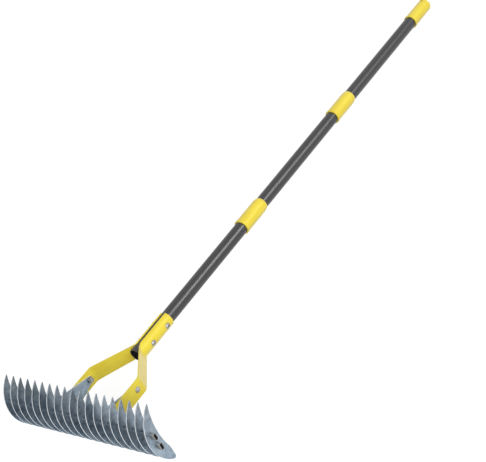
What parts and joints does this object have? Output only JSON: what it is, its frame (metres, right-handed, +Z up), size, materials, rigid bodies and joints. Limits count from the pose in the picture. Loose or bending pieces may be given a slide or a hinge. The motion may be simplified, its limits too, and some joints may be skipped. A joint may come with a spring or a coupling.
{
  "type": "thatch rake",
  "caption": "Long-handled thatch rake with a row of crescent steel tines on crossbars, a tilting head in a bent two-arm fork, and a handle of screwed tube sections.",
  "frame": {"origin": "on the floor under the middle of the rake, as it lies on its rear tine tips and its end cap", "axes": "+Y along the handle towards the end cap, +Z up towards the front tips of the tines, +X across the head"},
  "size_m": [0.398, 1.3532, 0.1212],
  "materials": {
    "tine_steel": "bright zinc-plated sheet steel",
    "zinc_hardware": "zinc-plated steel",
    "fork_paint": "yellow powder coat on bent sheet steel",
    "yellow_plastic": "moulded yellow plastic",
    "tube_coat": "dark grey speckled coat on steel tube",
    "insert_plastic": "black moulded plastic"
  },
  "bodies": {
    "handle": {"lower_tube": "tube_coat", "middle_tube": "tube_coat", "upper_tube": "tube_coat", "lower_collar": "yellow_plastic", "upper_collar": "yellow_plastic", "end_cap": "yellow_plastic", "lower_socket": "insert_plastic", "upper_socket": "insert_plastic", "lower_stud": "insert_plastic", "upper_stud": "insert_plastic", "fork_arm_left": "fork_paint", "fork_arm_right": "fork_paint", "handle_bolts": "zinc_hardware", "handle_nuts": "zinc_hardware", "pivot_bolts": "zinc_hardware", "pivot_nuts": "zinc_hardware", "lock_bolts": "zinc_hardware", "lock_nuts": "zinc_hardware"},
    "head": {"front_crossbar": "zinc_hardware", "rear_crossbar": "zinc_hardware", "front_spacers": "zinc_hardware", "rear_spacers": "zinc_hardware", "tine_01": "tine_steel", "tine_02": "tine_steel", "tine_03": "tine_steel", "tine_04": "tine_steel", "tine_05": "tine_steel", "tine_06": "tine_steel", "tine_07": "tine_steel", "tine_08": "tine_steel", "tine_09": "tine_steel", "tine_10": "tine_steel", "tine_11": "tine_steel", "tine_12": "tine_steel", "tine_13": "tine_steel", "tine_14": "tine_steel", "tine_15": "tine_steel", "tine_16": "tine_steel", "tine_17": "tine_steel", "tine_18": "tine_steel", "tine_19": "tine_steel"}
  },
  "joints": [
    {"name": "head_tilt", "type": "hinge", "parent": "handle", "child": "head", "pos_m": [0, -0.56706, 0.05599], "axis": [1, 0, 0], "range_deg": [-12, 12]}
  ]
}
